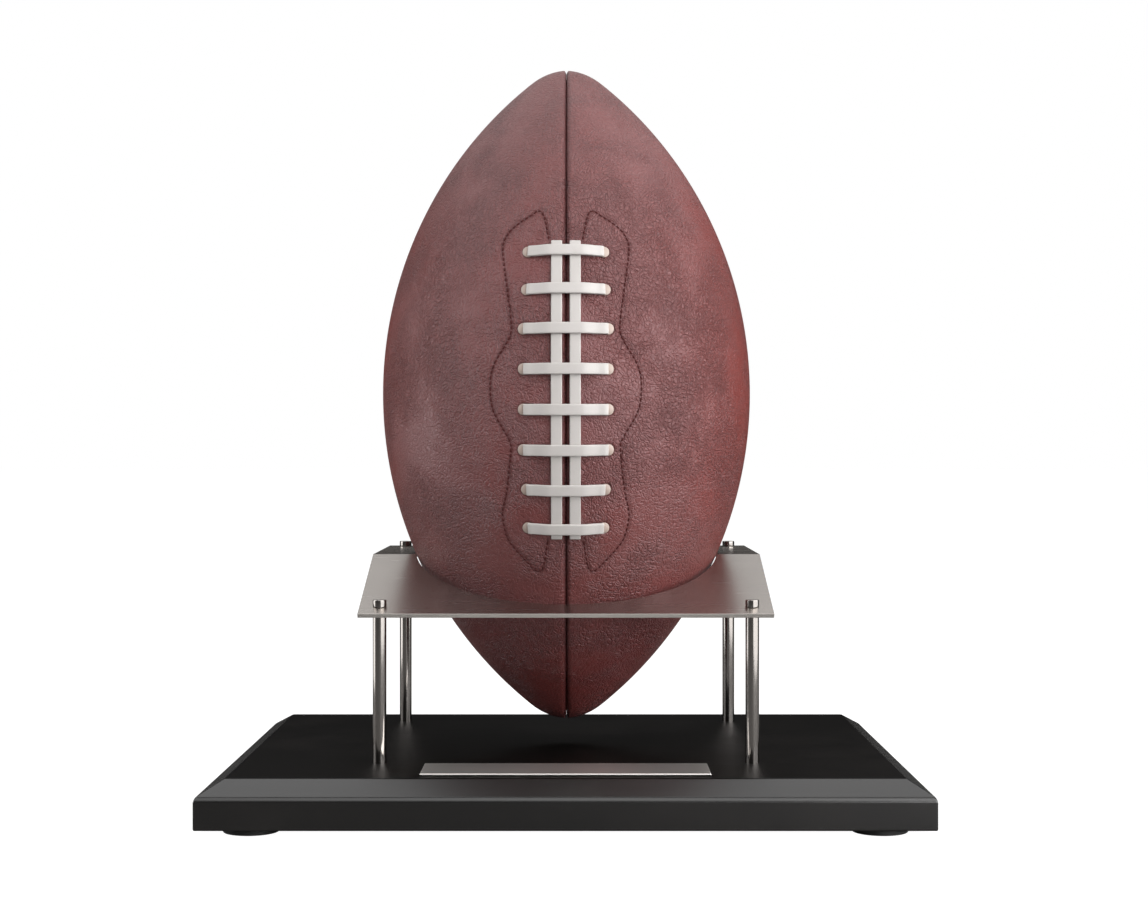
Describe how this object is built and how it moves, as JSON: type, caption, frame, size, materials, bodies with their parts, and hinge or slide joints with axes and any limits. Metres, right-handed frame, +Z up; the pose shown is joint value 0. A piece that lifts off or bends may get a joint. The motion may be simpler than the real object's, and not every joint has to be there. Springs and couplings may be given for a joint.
{
  "type": "football display stand",
  "caption": "Display stand for an upright laced football: a black bevelled board on rubber feet, slim steel rods and a folded steel cradle plate with a round hole, and a blank nameplate.",
  "frame": {"origin": "middle of the stand in plan, level with the bottoms of the feet", "axes": "+Z up along the ball; -Y is the front, where the laces and the nameplate are; +X to the right seen from the front"},
  "size_m": [0.292, 0.22, 0.3221],
  "materials": {
    "black_board": "satin black paint on wood board",
    "foot_rubber": "matte black rubber",
    "adhesive": "thin double-sided adhesive film",
    "rod_steel": "polished",
    "cradle_steel": "satin, brushed across the stand",
    "nameplate_steel": "satin, brushed across the stand, blank",
    "screw_steel": "zinc plated",
    "ball_leather": "pebbled reddish-brown leather",
    "lining_fabric": "layered cotton cloth",
    "seam_leather": "plain leather, flesh side",
    "bladder_rubber": "smooth thin rubber",
    "valve_rubber": "matte black rubber",
    "dark_thread": "waxed thread",
    "lace_white": "white ribbed lace"
  },
  "bodies": {
    "stand": {"base_board": "black_board", "cradle_plate": "cradle_steel", "nameplate": "nameplate_steel", "nameplate_adhesive": "adhesive", "rod_screws": "screw_steel", "rod_washers": "screw_steel", "foot_front_left": "foot_rubber", "foot_front_right": "foot_rubber", "foot_rear_left": "foot_rubber", "foot_rear_right": "foot_rubber", "foot_adhesive_front_left": "adhesive", "foot_adhesive_front_right": "adhesive", "foot_adhesive_rear_left": "adhesive", "foot_adhesive_rear_right": "adhesive", "rod_front_left": "rod_steel", "rod_front_right": "rod_steel", "rod_rear_left": "rod_steel", "rod_rear_right": "rod_steel", "cap_front_left": "rod_steel", "cap_front_right": "rod_steel", "cap_rear_left": "rod_steel", "cap_rear_right": "rod_steel"},
    "football": {"bladder": "bladder_rubber", "valve": "valve_rubber", "panel_front_right": "ball_leather", "panel_rear_right": "ball_leather", "panel_rear_left": "ball_leather", "panel_front_left": "ball_leather", "lining_front_right": "lining_fabric", "lining_rear_right": "lining_fabric", "lining_rear_left": "lining_fabric", "lining_front_left": "lining_fabric", "seam_rib_front": "seam_leather", "seam_rib_right": "seam_leather", "seam_rib_rear": "seam_leather", "seam_rib_left": "seam_leather", "lace_patch_left": "seam_leather", "lace_patch_right": "seam_leather", "patch_stitching_left": "dark_thread", "patch_stitching_right": "dark_thread", "lace_run_left": "lace_white", "lace_run_right": "lace_white", "cross_lace_1": "lace_white", "cross_lace_2": "lace_white", "cross_lace_3": "lace_white", "cross_lace_4": "lace_white", "cross_lace_5": "lace_white", "cross_lace_6": "lace_white", "cross_lace_7": "lace_white", "cross_lace_8": "lace_white"}
  },
  "joints": [
    {"name": "football_lift", "type": "slide", "parent": "stand", "child": "football", "axis": [0, 0, 1], "range_m": [0, 0.11]}
  ]
}
